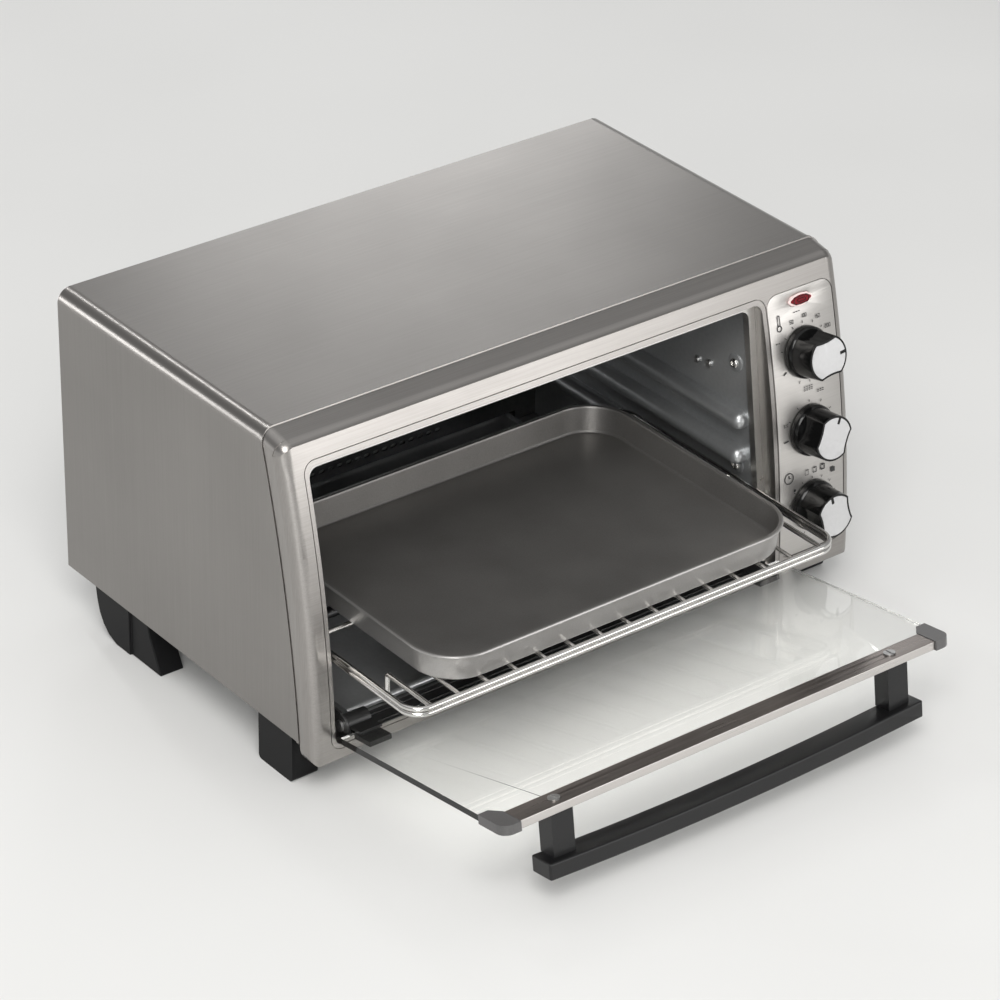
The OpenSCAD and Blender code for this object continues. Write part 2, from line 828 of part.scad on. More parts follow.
// Switch body behind the panel with a bore for its shaft.
module switch_body(r, h) {
    difference() {
        union() {
            translate([0, 0, -3 - h]) cylinder(r = r, h = h);
            translate([-9, -r - 3, -5.2]) cube([18, 2 * r + 6, 1.6]);
            translate([0, 0, -3.1]) cylinder(r = 4.4, h = 2.6);
        }
        translate([0, 0, -13.2]) cylinder(r = 3.05, h = 20);
    }
    for (x = [-8, 0, 8]) translate([x - 2, -0.4, -9 - h]) cube([4, 0.8, 6.2]);
}

module knob_thermostat() {
    color("black") place() on_panel(knob_z1) knob(85);
}

module knob_function() {
    color("black") place() on_panel(knob_z2) knob(24);
}

module knob_timer() {
    color("black") place() on_panel(knob_z3) knob(-13);
}

module cap_thermostat() {
    color("white") place() on_panel(knob_z1) knob_cap(85);
}

module cap_function() {
    color("white") place() on_panel(knob_z2) knob_cap(24);
}

module cap_timer() {
    color("white") place() on_panel(knob_z3) knob_cap(-13);
}

module shaft_thermostat() {
    color("silver") place() on_panel(knob_z1) shaft();
}

module shaft_function() {
    color("silver") place() on_panel(knob_z2) shaft();
}

module shaft_timer() {
    color("silver") place() on_panel(knob_z3) shaft();
}

module body_thermostat() {
    color("tan") place() on_panel(knob_z1) switch_body(15, 14);
}

module body_function() {
    color("tan") place() on_panel(knob_z2) switch_body(17, 16);
}

module body_timer() {
    color("tan") place() on_panel(knob_z3) switch_body(18, 22);
}

module timer_bell() {
    color("silver") place() translate([172, -196, 65]) rotate([90, 0, 0]) difference() {
        intersection() {
            translate([0, 0, -10]) sphere(20);
            cylinder(r = 18, h = 12);
        }
        intersection() {
            translate([0, 0, -10]) sphere(18.8);
            translate([0, 0, -1]) cylinder(r = 18, h = 12);
        }
        translate([0, 0, -1]) cylinder(r = 1.6, h = 14);
    }
}

module lamp_lens() {
    color("red") place() on_panel(197) {
        translate([0, 0, -0.1]) linear_extrude(1.9) lens_shape(15.6, 5.6);
        translate([0, 0, -4.5]) linear_extrude(4.45) slot(13, 4.6);
    }
}

module lamp_rim() {
    color("mistyrose") place() on_panel(197) difference() {
        union() {
            translate([0, 0, -0.15]) linear_extrude(1.3) lens_shape(18.6, 7.8);
            translate([0, 0, -4]) linear_extrude(3.9) slot(16.6, 6.4);
        }
        translate([0, 0, -0.15]) linear_extrude(4) lens_shape(15.8, 5.8);
        translate([0, 0, -5]) linear_extrude(8) slot(13.2, 4.8);
    }
}

module neon_lamp() {
    color("orange") place() on_panel(197) translate([0, 0, -16]) {
        cylinder(r = 2, h = 9);
        translate([0, 0, 9]) sphere(2);
        for (x = [-1, 1]) translate([x, 0, -6]) cylinder(r = 0.4, h = 7);
    }
}

module cord_gland() {
    color("black") place() translate([150, 0, 62]) rotate([90, 0, 0]) difference() {
        union() {
            translate([0, 0, -5]) cylinder(r = 10, h = 6.35);
            translate([0, 0, 1]) cylinder(r = 7.9, h = 9);
            translate([0, 0, 2.45]) cylinder(r = 9.6, h = 2);
        }
        translate([0, 0, -6]) cylinder(r = 3.6, h = 20);
    }
}

module terminal_block() {
    color("white") place() difference() {
        translate([156, -60, body_z0 + 1.25]) cube([32, 18, 14]);
        for (i = [0:2]) translate([161.5 + 10.5 * i, -51, body_z0 + 6]) cylinder(r = 2.6, h = 12);
        for (i = [0:2]) translate([161.5 + 10.5 * i, -62, body_z0 + 6]) rod_y(0, 22, 1.8);
    }
}

module rear_spacers() {
    color("black") place() for (x = [-165, 119]) translate([x, 0, 205]) rotate([90, 0, 0]) {
        translate([0, 0, -rear_reach]) cylinder(r1 = 6.5, r2 = 8, h = rear_reach + 1.3);
    }
}

module case_screws() {
    color("silver") place() {
        for (p = [[-165, 70], [119, 70], [-196, 60], [196, 60], [-196, 196], [196, 196]])
            translate([p[0], 0, p[1]]) rotate([90, 0, 0]) {
                translate([0, 0, -0.4]) cylinder(r = 3.1, h = 1.75);
                translate([0, 0, 1]) cylinder(r = 1.5, h = 5);
            }
    }
}

outer_wrap();
front_frame();
control_panel();
back_cover();
base_pan();
cavity_left();
cavity_right();
cavity_top();
cavity_back();
cavity_mouth();
heat_shield();
upper_elements();
lower_elements();
element_bushings();
cavity_rivets();
crumb_tray();
foot_front_left();
foot_front_right();
foot_rear_left();
foot_rear_right();
foot_screws();
hinge_bracket_left();
hinge_bracket_right();
hinge_pin_left();
hinge_pin_right();
door_glass();
door_strip();
door_rail();
door_lug_left();
door_lug_right();
door_cap_left();
door_cap_right();
handle_bar();
handle_posts();
handle_screws();
rack_frame();
rack_wires();
rack_hooks();
rack_guard();
bake_pan();
knob_thermostat();
knob_function();
knob_timer();
cap_thermostat();
cap_function();
cap_timer();
shaft_thermostat();
shaft_function();
shaft_timer();
body_thermostat();
body_function();
body_timer();
timer_bell();
lamp_lens();
lamp_rim();
neon_lamp();
cord_gland();
terminal_block();
rear_spacers();
case_screws();
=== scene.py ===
import json
import math

import bmesh
import bpy
from mathutils import Matrix, Vector

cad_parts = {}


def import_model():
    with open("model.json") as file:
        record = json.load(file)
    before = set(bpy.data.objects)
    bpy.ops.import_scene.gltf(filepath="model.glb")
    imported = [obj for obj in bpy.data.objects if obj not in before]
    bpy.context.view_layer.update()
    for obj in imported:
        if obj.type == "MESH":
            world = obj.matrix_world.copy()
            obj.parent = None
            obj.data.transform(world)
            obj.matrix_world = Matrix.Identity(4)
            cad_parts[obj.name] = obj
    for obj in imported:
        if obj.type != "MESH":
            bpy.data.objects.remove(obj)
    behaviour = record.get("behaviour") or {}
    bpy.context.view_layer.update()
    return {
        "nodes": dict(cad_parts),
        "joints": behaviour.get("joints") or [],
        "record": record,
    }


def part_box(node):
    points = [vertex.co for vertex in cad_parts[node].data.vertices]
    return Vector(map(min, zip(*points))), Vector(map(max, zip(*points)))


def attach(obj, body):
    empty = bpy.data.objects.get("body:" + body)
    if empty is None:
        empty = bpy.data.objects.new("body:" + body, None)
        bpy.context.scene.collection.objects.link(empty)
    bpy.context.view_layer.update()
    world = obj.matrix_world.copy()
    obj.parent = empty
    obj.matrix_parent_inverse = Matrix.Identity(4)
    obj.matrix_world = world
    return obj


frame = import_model()

# ---- sizes, in metres, taken from the CAD model where it holds them ----

BACK_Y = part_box("outer_wrap")[1][1]  # rear face of the case

# The front is bowed: part of a cylinder about X. The control panel stands a little proud of it.
FACE_R = 0.755
FACE_CY = BACK_Y + 0.5001
FACE_CZ = 0.0053
PANEL_R = FACE_R + 0.0002

# Middle of each knob on the panel: the anchor of the joint that turns it
KNOB = {
    j["name"].removesuffix("_turn"): j["pos_m"]
    for j in frame["joints"]
    if j["name"].endswith("_turn")
}
KNOB_X = KNOB["timer"][0]
KNOB_Z = {name: place[2] for name, place in KNOB.items()}

# Inner face of the cavity's right (1) and left (-1) side walls
SHEET = 0.001
WALL_X = {
    1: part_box("cavity_right")[1][0] - SHEET,
    -1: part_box("cavity_left")[0][0] + SHEET,
}

# Screws in the cavity's side walls: (Y, Z) of each, and the radius and height outlines
# of the embossed boss and of the pan head with its recess
WALL_SCREWS = ((-0.0057, 0.156), (-0.0117, 0.088))
BOSS = ((0.0062, -0.0004), (0.0058, 0.0008), (0.0050, 0.0012), (0.0040, 0.0012))
PAN_HEAD = (
    (0.0032, 0.0010), (0.0032, 0.0020), (0.0027, 0.0026), (0.0016, 0.0029), (0.0015, 0.0021),
)

# Moulded rings on the lamp's lens: (half the straight part, end radius, wire radius) of each
LENS_RINGS = ((0.0038, 0.0021, 0.00030), (0.0024, 0.0009, 0.00028))
LENS_LIFT = 0.0016  # how far the rings stand off the panel

# Printed marks on the panel: stroke widths, and where the ticks round a knob start and end
PRINT_LIFT = 0.00006
FINE, STROKE, BOLD, HEAVY = 0.0005, 0.0006, 0.0007, 0.0008
TICK_IN, TICK_OUT = 0.0178, 0.0194
DIGIT_R, DIGIT_H = 0.0222, 0.0021


def on_panel(x, z, lift):
    """Point that stands lift proud of the bowed panel."""
    a = math.asin((z - FACE_CZ) / PANEL_R)
    r = PANEL_R + lift
    return Vector((x, FACE_CY - r * math.cos(a), FACE_CZ + r * math.sin(a)))


# ---- shader nodes ----

LOOKS = {}  # every material, by name; the record's material slots have the same names


def new_material(name):
    m = bpy.data.materials.new(name)
    m.use_nodes = True
    LOOKS[name] = m
    return m.node_tree, m.node_tree.nodes["Principled BSDF"]


def noise(tree, scale, detail=3.0, rough=0.5):
    """Noise in the part's own space; scale is how many times it repeats per metre on each axis."""
    place = tree.nodes.new("ShaderNodeTexCoord")
    fit = tree.nodes.new("ShaderNodeMapping")
    fit.inputs["Scale"].default_value = scale
    n = tree.nodes.new("ShaderNodeTexNoise")
    n.inputs["Scale"].default_value = 1.0
    n.inputs["Detail"].default_value = detail
    n.inputs["Roughness"].default_value = rough
    tree.links.new(place.outputs["Object"], fit.inputs["Vector"])
    tree.links.new(fit.outputs["Vector"], n.inputs["Vector"])
    return n.outputs["Fac"]


def rescale(tree, source, start, end, low=0.0, high=1.0):
    """Maps start to low and end to high, and holds both ends."""
    n = tree.nodes.new("ShaderNodeMapRange")
    n.inputs["From Min"].default_value = start
    n.inputs["From Max"].default_value = end
    n.inputs["To Min"].default_value = low
    n.inputs["To Max"].default_value = high
    tree.links.new(source, n.inputs["Value"])
    return n.outputs["Result"]


def spread(tree, source, low=0.0, high=1.0):
    """Stretches noise, which keeps near its middle, over low to high."""
    return rescale(tree, source, 0.25, 0.75, low, high)


def mix(tree, kind, factor, one, two):
    """Mixes two numbers (kind FLOAT) or two colours (kind RGBA), set or from other nodes."""
    n = tree.nodes.new("ShaderNodeMix")
    n.data_type = kind
    for source, name in ((factor, "Factor"), (one, "A"), (two, "B")):
        if isinstance(source, bpy.types.NodeSocket):
            tree.links.new(source, n.inputs[name])
        elif isinstance(source, tuple):
            n.inputs[name].default_value = (*source, 1)
        else:
            n.inputs[name].default_value = source
    return n.outputs["Result"]


def tint(tree, source, dark, light):
    """Colour that goes from dark to light with noise."""
    return mix(tree, "RGBA", spread(tree, source), dark, light)


def vector_maths(tree, operation, one, two):
    """Node for two vectors, each set or from another node."""
    n = tree.nodes.new("ShaderNodeVectorMath")
    n.operation = operation
    for source, socket in zip((one, two), n.inputs):
        if isinstance(source, bpy.types.NodeSocket):
            tree.links.new(source, socket)
        else:
            socket.default_value = source
    return n


def facing(tree, axis, start, full, both_ways=True):
    """1 on faces that look along one axis of the part itself, 0 on the others."""
    place = tree.nodes.new("ShaderNodeTexCoord")
    split = tree.nodes.new("ShaderNodeSeparateXYZ")
    tree.links.new(place.outputs["Normal"], split.inputs["Vector"])
    part = split.outputs[axis]
    if both_ways:
        size = tree.nodes.new("ShaderNodeMath")
        size.operation = "ABSOLUTE"
        tree.links.new(part, size.inputs[0])
        part = size.outputs["Value"]
    return rescale(tree, part, start, full)


def surface(tree, shader, colour, tone, rough, relief, depth):
    """Gives a shader its colour, a roughness that follows the tone, and its fine relief."""
    n = tree.nodes.new("ShaderNodeBump")
    n.inputs["Strength"].default_value = 0.5
    n.inputs["Distance"].default_value = depth
    tree.links.new(relief, n.inputs["Height"])
    tree.links.new(n.outputs["Normal"], shader.inputs["Normal"])
    tree.links.new(colour, shader.inputs["Base Color"])
    tree.links.new(spread(tree, tone, *rough), shader.inputs["Roughness"])


# ---- kinds of material ----


def brushed(name, dark, light, rough, depth=0.000012, blotch=0.5, front_highlight=None):
    """Brushed sheet steel: the scratches run along X, and up and down on the sides."""
    tree, shader = new_material(name)
    on_side = facing(tree, "X", 0.55, 0.85)

    def scratches(along, across, detail):
        lengthwise = noise(tree, (along, across, across), detail=detail)
        upright = noise(tree, (across, across, along), detail=detail)
        return mix(tree, "FLOAT", on_side, lengthwise, upright)

    lines = mix(tree, "FLOAT", 0.4, scratches(22, 2600, 2.0), scratches(5, 520, 4.0))
    tone = mix(tree, "FLOAT", blotch, lines, noise(tree, (11, 11, 11), detail=4.0))
    colour = tint(tree, tone, dark, light)
    # Painted highlight: faces that look to the front take a lighter colour
    if front_highlight:
        front_highlight_mask = facing(tree, "Y", -0.5, -0.8, both_ways=False)
        colour = mix(tree, "RGBA", front_highlight_mask, colour, front_highlight)
    surface(tree, shader, colour, tone, (rough + 0.025, rough - 0.025), lines, depth)
    shader.inputs["Metallic"].default_value = 1.0


def plated(name, dark, light, rough, metal=1.0):
    """Plated or bare sheet with a soft blotchy tone."""
    tree, shader = new_material(name)
    fine = noise(tree, (420, 420, 420))
    tone = mix(tree, "FLOAT", 0.65, fine, noise(tree, (16, 16, 16), detail=2.0))
    colour = tint(tree, tone, dark, light)
    surface(tree, shader, colour, tone, (rough - 0.02, rough + 0.03), fine, 0.000004)
    shader.inputs["Metallic"].default_value = metal


def moulded(name, dark, light, rough, depth=0.00003, shine=0.5):
    """Moulded plastic, lamp glass or glaze, with a fine grain."""
    tree, shader = new_material(name)
    fine = noise(tree, (1400, 1400, 1400))
    tone = mix(tree, "FLOAT", 0.5, fine, noise(tree, (40, 40, 40)))
    colour = tint(tree, tone, dark, light)
    surface(tree, shader, colour, tone, (rough - 0.04, rough + 0.05), fine, depth)
    shader.inputs["Specular IOR Level"].default_value = shine


def clear_glass(name, colour, edge):
    """Plate glass with a dark green cut edge, which lets lamp light through."""
    tree, shader = new_material(name)
    cut = facing(tree, "X", 0.5, 0.9)
    smear = noise(tree, (9, 22, 9), detail=5.0, rough=0.6)
    tree.links.new(mix(tree, "RGBA", cut, colour, edge), shader.inputs["Base Color"])
    tree.links.new(spread(tree, smear, 0.012, 0.032), shader.inputs["Roughness"])
    shader.inputs["IOR"].default_value = 1.5
    shader.inputs["Transmission Weight"].default_value = 1.0
    path = tree.nodes.new("ShaderNodeLightPath")
    clear = tree.nodes.new("ShaderNodeBsdfTransparent")
    clear.inputs["Color"].default_value = (0.985, 0.99, 0.985, 1)
    mixer = tree.nodes.new("ShaderNodeMixShader")
    tree.links.new(path.outputs["Is Shadow Ray"], mixer.inputs["Fac"])
    tree.links.new(shader.outputs["BSDF"], mixer.inputs[1])
    tree.links.new(clear.outputs["BSDF"], mixer.inputs[2])
    tree.links.new(mixer.outputs["Shader"], tree.nodes["Material Output"].inputs["Surface"])


def pan_metal(name, inside, outside):
    """Dark non-stick coat inside, bare light grey metal on the outside wall and the rim."""
    tree, shader = new_material(name)
    low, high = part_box("bake_pan")
    middle = [(a + b) / 2 for a, b in zip(low, high)]
    place = tree.nodes.new("ShaderNodeTexCoord").outputs["Object"]
    normal = tree.nodes.new("ShaderNodeNewGeometry").outputs["Normal"]
    from_middle = vector_maths(tree, "SUBTRACT", place, middle)
    level = vector_maths(tree, "MULTIPLY", from_middle.outputs["Vector"], (1, 1, 0))
    outward = vector_maths(tree, "DOT_PRODUCT", level.outputs["Vector"], normal)
    on_outside = rescale(tree, outward.outputs["Value"], 0.004, 0.02)
    fine = noise(tree, (1300, 1300, 1300))
    tone = mix(tree, "FLOAT", 0.5, fine, noise(tree, (26, 26, 26), detail=4.0))
    colour = mix(tree, "RGBA", on_outside, tint(tree, tone, *inside), tint(tree, tone, *outside))
    surface(tree, shader, colour, tone, (0.30, 0.40), fine, 0.00001)
    shader.inputs["Metallic"].default_value = 0.7


def make_materials():
    """One material for each slot of the record, and four more: see OWN_LOOK and the new pieces."""
    brushed("wrap_steel", (0.235, 0.225, 0.215), (0.300, 0.287, 0.275), 0.30, depth=0.000006)
    brushed("frame_steel", (0.27, 0.257, 0.246), (0.39, 0.373, 0.358), 0.29, blotch=0.35)
    brushed("panel_silver", (0.42, 0.405, 0.388), (0.53, 0.515, 0.497), 0.38)
    # The strip's front faces are painted lighter: a painted highlight
    brushed("strip_steel", (0.20, 0.178, 0.165), (0.36, 0.325, 0.305), 0.28,
            front_highlight=(0.60, 0.575, 0.555))
    plated("plated_steel", (0.42, 0.42, 0.42), (0.62, 0.62, 0.61), 0.34)
    plated("cavity_steel", (0.36, 0.37, 0.375), (0.50, 0.51, 0.515), 0.30, metal=0.72)
    # Darker copy of the cavity steel for the cavity's back and top: painted shade
    plated("cavity_back_steel", (0.13, 0.13, 0.133), (0.22, 0.22, 0.223), 0.32)
    plated("dark_steel", (0.03, 0.03, 0.03), (0.09, 0.09, 0.09), 0.38, metal=0.6)
    plated("black_steel", (0.008, 0.008, 0.008), (0.02, 0.02, 0.02), 0.35, metal=0.0)
    plated("heater_sheath", (0.07, 0.07, 0.075), (0.16, 0.16, 0.16), 0.45)
    moulded("ceramic", (0.72, 0.68, 0.60), (0.85, 0.82, 0.75), 0.55)
    moulded("foot_plastic", (0.004, 0.004, 0.0045), (0.008, 0.008, 0.0085), 0.45, shine=0.15)
    moulded("black_plastic", (0.004, 0.004, 0.0045), (0.010, 0.010, 0.0105), 0.30, shine=0.4)
    moulded("grey_plastic", (0.07, 0.068, 0.068), (0.12, 0.117, 0.117), 0.34)
    moulded("white_plastic", (0.70, 0.70, 0.68), (0.8, 0.8, 0.78), 0.45)
    moulded("phenolic", (0.22, 0.12, 0.06), (0.34, 0.20, 0.11), 0.45)
    moulded("knob_black", (0.003, 0.003, 0.003), (0.006, 0.006, 0.006), 0.14,
            depth=0.000005, shine=0.32)
    plated("cap_silver", (0.50, 0.50, 0.505), (0.60, 0.60, 0.605), 0.36, metal=0.4)
    plated("chrome_wire", (0.58, 0.57, 0.55), (0.76, 0.75, 0.73), 0.14)
    plated("mouth_steel", (0.58, 0.57, 0.55), (0.74, 0.73, 0.71), 0.28)
    moulded("lens_red", (0.10, 0.001, 0.005), (0.20, 0.003, 0.010), 0.22,
            depth=0.00001, shine=0.2)
    moulded("lens_ridge", (0.02, 0.0005, 0.001), (0.05, 0.001, 0.002), 0.2, depth=0.00001)
    moulded("rim_pink", (0.80, 0.62, 0.60), (0.88, 0.72, 0.70), 0.20, depth=0.00001)
    moulded("lamp_glass", (0.7, 0.3, 0.15), (0.9, 0.45, 0.25), 0.15, depth=0.00001)
    clear_glass("door_glass", (0.99, 0.992, 0.98), (0.10, 0.16, 0.14))
    moulded("panel_print", (0.012, 0.012, 0.013), (0.03, 0.03, 0.03), 0.5, depth=0.00001)
    pan_metal(
        "nonstick_pan",
        inside=((0.21, 0.203, 0.195), (0.30, 0.29, 0.278)),
        outside=((0.34, 0.33, 0.32), (0.46, 0.45, 0.44)),
    )


# ---- CAD nodes: materials and softened edges ----

# Nodes whose look isn't their slot's; the cavity's back and top take a darker copy of the cavity
# steel as painted shade
OWN_LOOK = {
    "cavity_mouth": "mouth_steel",
    "cavity_back": "cavity_back_steel",
    "cavity_top": "cavity_back_steel",
}

# Width of the softened edges, and the nodes that have them
SOFT_EDGES = {
    0.0002: (
        "cap_thermostat", "cap_function", "cap_timer",
        "hinge_bracket_left", "hinge_bracket_right", "crumb_tray",
    ),
    0.0003: ("control_panel", "lamp_rim"),
    0.0005: ("door_strip", "door_rail", "door_glass"),
    0.0006: (
        "door_cap_left", "door_cap_right", "knob_thermostat", "knob_function", "knob_timer",
        "lamp_lens", "cord_gland",
    ),
    0.0008: (
        "handle_posts", "foot_front_left", "foot_front_right", "foot_rear_left", "foot_rear_right",
    ),
    0.0012: ("handle_bar",),
}


def soften(obj, width):
    """Rounds the sharp edges of a node."""
    weld = obj.modifiers.new("weld", "WELD")
    weld.merge_threshold = 0.000002
    soft = obj.modifiers.new("soft_edge", "BEVEL")
    soft.width = width
    soft.segments = 3
    soft.limit_method = "ANGLE"
    soft.angle_limit = math.radians(35)
    soft.harden_normals = True


def dress_nodes():
    """Gives every CAD node its material, and some of them their softened edges."""
    nodes = frame["nodes"]
    slots = {s["node"]: s["material_slot"] for s in frame["record"]["subparts"]}
    for name, obj in nodes.items():
        obj.data.materials.clear()
        obj.data.materials.append(LOOKS[OWN_LOOK.get(name, slots[name])])
    for width, names in SOFT_EDGES.items():
        for name in names:
            soften(nodes[name], width)


# ---- new pieces ----


def make_piece(bm, name, look, body):
    """Turns a finished mesh into a piece that rides on a CAD body."""
    bmesh.ops.recalc_face_normals(bm, faces=bm.faces)
    mesh = bpy.data.meshes.new(name)
    bm.to_mesh(mesh)
    bm.free()
    mesh.materials.append(LOOKS[look])
    obj = bpy.data.objects.new(name, mesh)
    bpy.context.collection.objects.link(obj)
    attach(obj, body)
    return mesh


def make_smooth_piece(bm, name, look, body):
    """The same, shaded smooth but for its sharp corners."""
    mesh = make_piece(bm, name, look, body)
    for face in mesh.polygons:
        face.use_smooth = True
    mesh.set_sharp_from_angle(angle=math.radians(40))


def join_rings(bm, one, two):
    """Faces between two closed rings of as many points."""
    for k in range(len(one)):
        after = (k + 1) % len(one)
        bm.faces.new((one[k], one[after], two[after], two[k]))


class Print:
    """Collects flat printed shapes and lays them on the bowed panel."""

    def __init__(self):
        self.bm = bmesh.new()

    def poly(self, points):
        self.bm.faces.new([self.bm.verts.new(on_panel(x, z, PRINT_LIFT)) for x, z in points])

    def bar(self, x0, z0, x1, z1, width):
        along = Vector((x1 - x0, z1 - z0)).normalized()
        dx, dz = Vector((-along.y, along.x)) * width / 2
        self.poly([(x0 - dx, z0 - dz), (x1 - dx, z1 - dz), (x1 + dx, z1 + dz), (x0 + dx, z0 + dz)])

    def ring(self, x, z, r, width, start=0.0, end=360.0):
        steps = max(6, int(abs(end - start) / 12))
        inner, outer = r - width / 2, r + width / 2
        for i in range(steps):
            a = math.radians(start + (end - start) * i / steps)
            b = math.radians(start + (end - start) * (i + 1) / steps)
            corners = ((inner, a), (outer, a), (outer, b), (inner, b))
            self.poly([(x + c * math.sin(t), z + c * math.cos(t)) for c, t in corners])

    def disc(self, x, z, r, steps=24):
        angles = [t * math.tau / steps for t in range(steps)]
        self.poly([(x + r * math.sin(t), z + r * math.cos(t)) for t in angles])

    def digits(self, text, x, z, h):
        """A number drawn as strokes; each digit has up to seven of them."""
        strokes = {
            "0": "abcdef", "1": "bc", "2": "abged", "3": "abgcd", "4": "fgbc",
            "5": "afgcd", "6": "afgedc", "7": "abc", "8": "abcdefg", "9": "gfabcd",
        }
        w = h * 0.52
        line = h * 0.16
        pitch = w * 1.45
        low, middle, top = z - h / 2, z, z + h / 2
        for i, digit in enumerate(text):
            left = x - pitch * (len(text) - 1) / 2 - w / 2 + pitch * i
            right = left + w
            ends = {
                "a": (left, top, right, top),
                "b": (right, top, right, middle),
                "c": (right, middle, right, low),
                "d": (left, low, right, low),
                "e": (left, middle, left, low),
                "f": (left, top, left, middle),
                "g": (left, middle, right, middle),
            }
            for stroke in strokes[digit]:
                self.bar(*ends[stroke], line)

    def tick(self, z, angle, inner, outer, width):
        """One tick of the scale round the knob at height z; angles run clockwise from the top."""
        self.bar(*polar(z, angle, inner), *polar(z, angle, outer), width)

    def ticks(self, z, first, step, count, outer=TICK_OUT):
        for i in range(count):
            self.tick(z, first + step * i, TICK_IN, outer, FINE)

    def dashes(self, x, z, across, down, dash=0.0012, gap=0.0007, drop=0.0012):
        """A small block of dashes, such as the rods in a heating sign."""
        pitch = dash + gap
        left = x - (pitch * across - gap) / 2
        for j in range(down):
            for i in range(across):
                start = left + pitch * i
                self.bar(start, z - drop * j, start + dash, z - drop * j, FINE)

    def thermometer(self, x, z, half=0.0008, bulb=0.0017, low=0.0034, top=0.0038):
        self.ring(x, z - low, bulb, STROKE)
        for side in (-half, half):
            self.bar(x + side, z - 0.0019, x + side, z + top, FINE)
        self.ring(x, z + top, half, FINE, -90, 90)

    def clock(self, x, z, r=0.0034, long_hand=0.0021, short_hand=0.0016):
        self.ring(x, z, r, STROKE)
        self.bar(x, z, x, z + long_hand, STROKE)
        self.bar(x, z, x + short_hand, z, STROKE)

    def bread(self, x, low, width, half=0.0014, high=0.0024):
        """Outline of a slice of bread."""
        for side in (-1, 1):
            self.bar(x + side * half, low, x + side * half, low + high, width)
            self.ring(x + side * 0.0006, low + 0.0025, 0.0009, width, -90, 90)
        self.bar(x - half, low, x + half, low, width)


def polar(z, angle, r):
    """Point round the knob at height z, clockwise from the top in degrees."""
    a = math.radians(angle)
    return KNOB_X + r * math.sin(a), z + r * math.cos(a)


def panel_print():
    """Scales round the three knobs, temperatures, and generic signs."""
    p = Print()

    z = KNOB_Z["thermostat"]
    p.ticks(z, -75, 25, 12)
    p.thermometer(KNOB_X - 0.018, z + 0.0225)
    for text, angle in (("50", -22), ("100", 4), ("150", 32), ("200", 60)):
        p.digits(text, *polar(z, angle, DIGIT_R), DIGIT_H)
    p.dashes(KNOB_X - 0.0035, z + 0.0258, 3, 1)
    p.dashes(KNOB_X - 0.0205, z + 0.0105, 2, 1)
    p.tick(z, -118, TICK_IN, 0.0208, BOLD)
    p.dashes(KNOB_X, z - 0.0215, 4, 3)

    z = KNOB_Z["function"]
    p.ticks(z, -60, 30, 5)
    p.dashes(KNOB_X + 0.0095, z + 0.0235, 3, 2)
    p.dashes(KNOB_X - 0.0195, z + 0.0085, 2, 2)
    p.tick(z, -97, TICK_IN, 0.0216, HEAVY)

    z = KNOB_Z["timer"]
    p.clock(KNOB_X - 0.0185, z + 0.0230)
    p.ticks(z, -75, 25, 12, outer=0.0192)
    p.disc(KNOB_X - 0.0142, z + 0.0138, 0.0010)
    # toast shades: three slices in ever bolder lines, then a solid block
    for i, width in enumerate((0.0003, 0.00045, 0.0007)):
        p.bread(KNOB_X - 0.0042 + 0.0064 * i, z + 0.0212, width)
    left, right, low, top = KNOB_X + 0.0152, KNOB_X + 0.0184, z + 0.0168, z + 0.0200
    p.poly([(left, low), (right, low), (right, top), (left, top)])

    make_piece(p.bm, "panel_marks", "panel_print", "oven")


def turned(bm, centre, outline, side, steps=24):
    """Turns a radius-and-height outline about X; it rises from the wall on that side."""
    rings = []
    for r, height in outline:
        angles = [k * math.tau / steps for k in range(steps)]
        rings.append([
            bm.verts.new(centre + Vector((-side * height, r * math.cos(t), r * math.sin(t))))
            for t in angles
        ])
    for one, two in zip(rings, rings[1:]):
        join_rings(bm, one, two)
    bm.faces.new(rings[0][::-1])
    bm.faces.new(rings[-1])


def wall_screws():
    """Embossed bosses with pan-head screws, near the front edge of both cavity walls."""
    for side, node in ((1, "cavity_right"), (-1, "cavity_left")):
        bosses, heads = bmesh.new(), bmesh.new()
        for y, z in WALL_SCREWS:
            centre = Vector((WALL_X[side], y, z))
            turned(bosses, centre, BOSS, side)
            turned(heads, centre, PAN_HEAD, side)
        make_smooth_piece(bosses, node + "_bosses", "cavity_steel", "oven")
        make_smooth_piece(heads, node + "_screws", "chrome_wire", "oven")


def lamp_ridges(steps=48, sides=8):
    """Two moulded rings on the ruby lens, one inside the other."""
    low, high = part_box("lamp_lens")
    mid_x, mid_z = (low[0] + high[0]) / 2, (low[2] + high[2]) / 2
    bm = bmesh.new()
    for half, r, wire in LENS_RINGS:
        path = []
        for i in range(steps):
            t = i * math.tau / steps
            x = mid_x + math.copysign(half, math.cos(t)) + r * math.cos(t)
            path.append((x, mid_z + r * math.sin(t)))
        rings = []
        for i, here in enumerate(path):
            before, after = path[i - 1], path[(i + 1) % steps]
            centre = on_panel(*here, LENS_LIFT)
            along = on_panel(*after, LENS_LIFT) - on_panel(*before, LENS_LIFT)
            out = (on_panel(*here, 0.01) - on_panel(*here, 0.0)).normalized()
            across = along.cross(out).normalized()
            angles = [k * math.tau / sides for k in range(sides)]
            rings.append([
                bm.verts.new(centre + wire * (math.cos(a) * out + math.sin(a) * across))
                for a in angles
            ])
        for i in range(steps):
            join_rings(bm, rings[i], rings[(i + 1) % steps])
    make_smooth_piece(bm, "lamp_ridges", "lens_ridge", "oven")


# ---- light, floor and camera ----

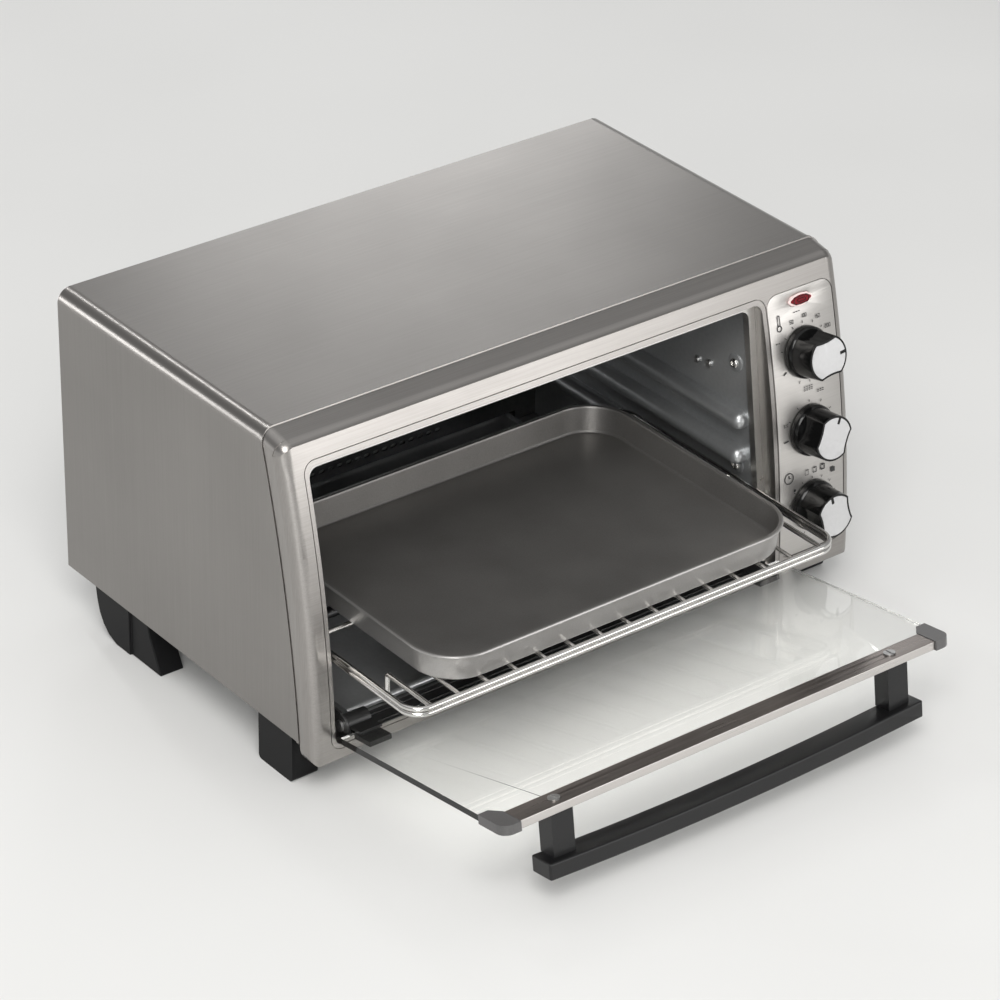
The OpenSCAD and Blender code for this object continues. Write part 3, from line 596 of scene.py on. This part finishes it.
# Height on the sky sphere, from 0 straight down to 1 straight up, and the colour there
SKY = (
    (0.00, (0.70, 0.70, 0.70)),
    (0.50, (1.0, 1.0, 0.99)),
    (0.57, (1.0, 1.0, 0.99)),
    (0.63, (0.55, 0.55, 0.55)),
    (0.70, (0.40, 0.40, 0.40)),
    (0.84, (0.42, 0.42, 0.42)),
    (0.92, (0.95, 0.95, 0.95)),
    (1.00, (1.0, 1.0, 1.0)),
)
SKY_STRENGTH = 0.8

WHITE = (1.0, 1.0, 1.0)

# Name, place, what it is aimed at, size, power in watts, colour
LIGHTS = (
    ("key", (-1.3, -1.5, 2.4), (0, 0, 0.1), (1.6, 1.6), 54, (1.0, 0.99, 0.97)),
    ("front", (0.85, -1.95, 0.5), (0, -0.2, 0.15), (1.1, 1.0), 10.5, (1.0, 0.99, 0.98)),
    ("low", (-1.6, -2.0, 0.75), (0.1, 0, 0.12), (0.7, 0.5), 15, WHITE),
    ("rear", (1.75, 2.5, 1.35), (0, 0.1, 0.2), (0.7, 0.5), 4.5, WHITE),
    ("left strip", (-1.75, 1.9, 0.45), (-0.2, 0, 0.2), (0.10, 0.6), 5, WHITE),
    ("top strip", (0.1, 1.75, 1.9), (-0.2, 0, 0.2), (0.12, 0.6), 4, WHITE),
)

FLOOR_HALF = 6.0

CAMERA_LENS_MM = 148.9
CAMERA_PLACE = (-1.3312, BACK_Y - 1.8441, 1.3453)
CAMERA_RIGHT = (0.7901, -0.6128, 0.0168)
CAMERA_UP = (0.2992, 0.4093, 0.8620)


def world():
    """A soft studio: light low wall, darker above, and a bright ceiling."""
    w = bpy.data.worlds.new("studio")
    bpy.context.scene.world = w
    w.use_nodes = True
    tree = w.node_tree
    back = tree.nodes["Background"]
    place = tree.nodes.new("ShaderNodeTexCoord")
    split = tree.nodes.new("ShaderNodeSeparateXYZ")
    ramp = tree.nodes.new("ShaderNodeValToRGB")
    marks = ramp.color_ramp.elements
    while len(marks) < len(SKY):
        marks.new(0.5)
    for mark, (height, colour) in zip(marks, SKY):
        mark.position = height
        mark.color = (*colour, 1)
    tree.links.new(place.outputs["Generated"], split.inputs["Vector"])
    tree.links.new(rescale(tree, split.outputs["Z"], -1.0, 1.0), ramp.inputs["Fac"])
    tree.links.new(ramp.outputs["Color"], back.inputs["Color"])
    back.inputs["Strength"].default_value = SKY_STRENGTH


def colours():
    look = bpy.context.scene.view_settings
    look.view_transform = "Standard"
    look.look = "None"
    look.exposure = 0.0


def camera():
    data = bpy.data.cameras.new("camera")
    data.sensor_width = 36.0
    data.lens = CAMERA_LENS_MM
    obj = bpy.data.objects.new("camera", data)
    bpy.context.collection.objects.link(obj)
    right = Vector(CAMERA_RIGHT).normalized()
    up = Vector(CAMERA_UP)
    up = (up - right * up.dot(right)).normalized()
    turn = Matrix((right, up, right.cross(up))).transposed().to_4x4()
    obj.matrix_world = Matrix.Translation(CAMERA_PLACE) @ turn
    bpy.context.scene.camera = obj


def lights():
    for name, place, target, size, power, colour in LIGHTS:
        data = bpy.data.lights.new(name, "AREA")
        data.shape = "RECTANGLE"
        data.size, data.size_y = size
        data.energy = power
        data.color = colour
        obj = bpy.data.objects.new(name, data)
        bpy.context.collection.objects.link(obj)
        obj.location = place
        way = Vector(target) - obj.location
        obj.rotation_euler = way.to_track_quat("-Z", "Y").to_euler()


def floor():
    tree, shader = new_material("floor")
    cloud = noise(tree, (3, 3, 3), detail=2.0)
    colour = tint(tree, cloud, (0.74, 0.74, 0.73), (0.78, 0.78, 0.77))
    tree.links.new(colour, shader.inputs["Base Color"])
    shader.inputs["Roughness"].default_value = 0.55
    s = FLOOR_HALF
    mesh = bpy.data.meshes.new("floor")
    mesh.from_pydata([(-s, -s, 0), (s, -s, 0), (s, s, 0), (-s, s, 0)], [], [(0, 1, 2, 3)])
    mesh.materials.append(LOOKS["floor"])
    obj = bpy.data.objects.new("floor", mesh)
    bpy.context.collection.objects.link(obj)


make_materials()
world()
colours()
camera()
lights()
floor()
dress_nodes()
panel_print()
lamp_ridges()
wall_screws()
